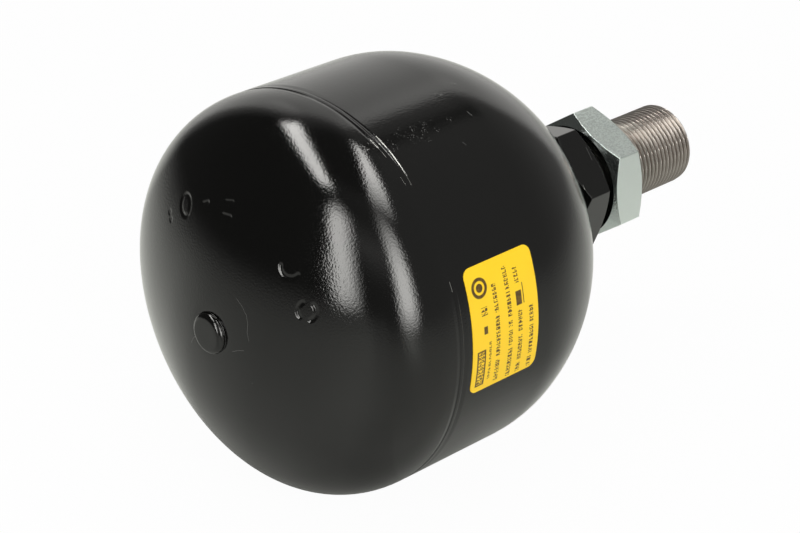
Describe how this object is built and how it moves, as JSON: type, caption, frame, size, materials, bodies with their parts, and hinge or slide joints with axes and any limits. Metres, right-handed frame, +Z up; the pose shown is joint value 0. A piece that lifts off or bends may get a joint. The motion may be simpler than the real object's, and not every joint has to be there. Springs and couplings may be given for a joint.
{
  "type": "suspension accumulator",
  "caption": "Welded diaphragm accumulator: a domed steel vessel with a shallow gas cap, a hexagon port, and a threaded stud that carries a lock nut.",
  "frame": {"origin": "on the axis, in the plane of the lock nut's outer face, where the free stud begins", "axes": "+X along the axis from the gas cap to the port's stud; +Z up, the vessel lying on its side as in the picture"},
  "size_m": [0.1645, 0.1015, 0.1014],
  "materials": {
    "vessel_paint": "gloss black paint with light orange peel",
    "port_steel": "bare turned steel on the stud; the hexagon is painted with the vessel",
    "nut_zinc": "dull zinc plate",
    "ring_steel": "pressed steel, unpainted",
    "diaphragm_rubber": "moulded nitrile rubber, dull",
    "label_film": "yellow printed film, semi-gloss"
  },
  "bodies": {
    "root": {"gas_shell": "vessel_paint", "fluid_shell": "vessel_paint", "seam_weld": "vessel_paint", "gas_plug": "vessel_paint", "port_weld": "vessel_paint", "fluid_port": "port_steel", "lock_nut": "nut_zinc", "clamp_ring": "ring_steel", "diaphragm": "diaphragm_rubber", "valve_disc": "ring_steel", "label": "label_film"}
  },
  "joints": []
}
